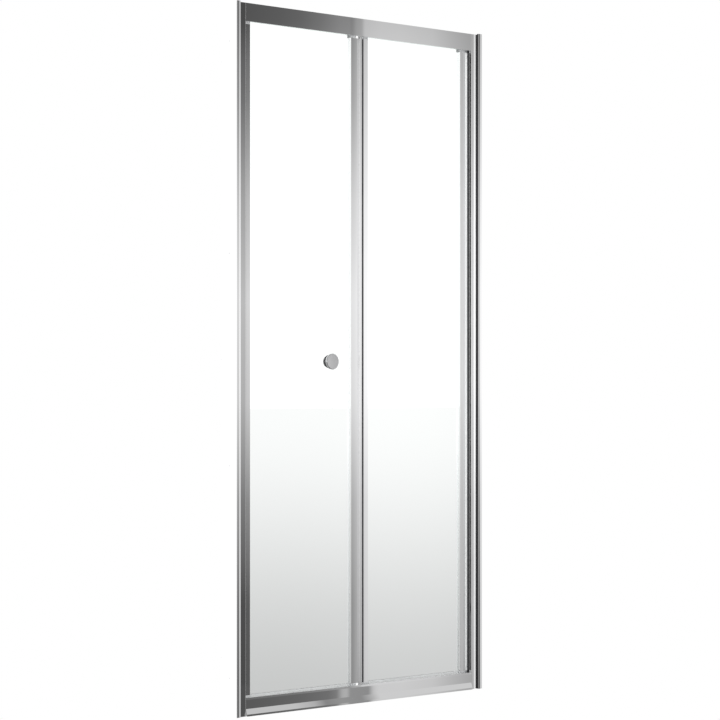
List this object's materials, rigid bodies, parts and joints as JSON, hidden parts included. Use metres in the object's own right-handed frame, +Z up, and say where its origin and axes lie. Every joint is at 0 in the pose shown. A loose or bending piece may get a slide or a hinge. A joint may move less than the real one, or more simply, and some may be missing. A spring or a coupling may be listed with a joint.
{
  "type": "bifold shower door",
  "caption": "Framed shower door with two glass panels that fold inwards about a middle hinge, guided in tracks in the rails.",
  "frame": {"origin": "on the sill, midway between the walls and midway through the frame", "axes": "+X along the doorway towards the pivot side, -Y out of the enclosure towards the user, +Z up"},
  "size_m": [0.88, 0.068, 1.852],
  "materials": {
    "chrome_section": "polished silver",
    "chrome_knob": "polished",
    "glass": "clear safety glass",
    "steel": "bright",
    "grey_moulding": "moulded",
    "white_moulding": "moulded",
    "clear_vinyl": "translucent vinyl",
    "dark_rubber": "matt"
  },
  "bodies": {
    "frame": {"wall_profile_left": "chrome_section", "wall_profile_right": "chrome_section", "side_post_left": "chrome_section", "side_post_right": "chrome_section", "top_rail": "chrome_section", "bottom_rail": "chrome_section", "corner_screws": "steel", "profile_screws": "steel", "screw_caps": "grey_moulding", "strike_seal": "clear_vinyl", "top_pivot_block": "grey_moulding", "bottom_pivot_block": "grey_moulding", "pivot_block_screws": "steel"},
    "pivot_panel": {"pivot_glass": "glass", "pivot_outer_stile": "chrome_section", "pivot_fold_stile": "chrome_section", "pivot_glass_gaskets": "clear_vinyl", "top_pivot_cap": "grey_moulding", "bottom_pivot_cap": "grey_moulding", "top_pivot_pin": "steel", "bottom_pivot_pin": "steel", "pivot_washers": "white_moulding", "top_hinge_cap": "grey_moulding", "bottom_hinge_cap": "grey_moulding", "hinge_pins": "steel", "pivot_side_seal": "clear_vinyl", "fold_seal": "dark_rubber", "pivot_bottom_seal": "clear_vinyl", "pivot_cap_screws": "steel"},
    "lead_panel": {"lead_glass": "glass", "lead_outer_stile": "chrome_section", "lead_fold_stile": "chrome_section", "lead_glass_gaskets": "clear_vinyl", "top_guide_cap": "grey_moulding", "bottom_guide_cap": "grey_moulding", "lead_fold_caps": "grey_moulding", "hinge_bushes": "white_moulding", "guide_pins": "steel", "lead_bottom_seal": "clear_vinyl", "lead_cap_screws": "steel", "knob_outer": "chrome_knob", "knob_inner": "chrome_knob", "knob_bolt": "chrome_knob", "knob_sleeve": "white_moulding", "knob_washers": "clear_vinyl"},
    "top_guide": {"top_guide_roller": "white_moulding"},
    "bottom_guide": {"bottom_guide_roller": "white_moulding"}
  },
  "joints": [
    {"name": "pivot_swing", "type": "hinge", "parent": "frame", "child": "pivot_panel", "pos_m": [0.3885, 0.0015, 0.925], "axis": [0, 0, -1], "range_deg": [0, 85]},
    {"name": "fold_hinge", "type": "hinge", "parent": "pivot_panel", "child": "lead_panel", "pos_m": [0, -0.0105, 0.925], "axis": [0, 0, 1], "range_deg": [0, 170]},
    {"name": "top_roller_spin", "type": "hinge", "parent": "lead_panel", "child": "top_guide", "pos_m": [-0.3885, 0.0015, 1.8215], "axis": [0, 0, 1], "continuous": true},
    {"name": "bottom_roller_spin", "type": "hinge", "parent": "lead_panel", "child": "bottom_guide", "pos_m": [-0.3885, 0.0015, 0.0285], "axis": [0, 0, 1], "continuous": true}
  ],
  "couplings": [
    {"joint": "fold_hinge", "follows": "pivot_swing", "ratio": 2}
  ]
}
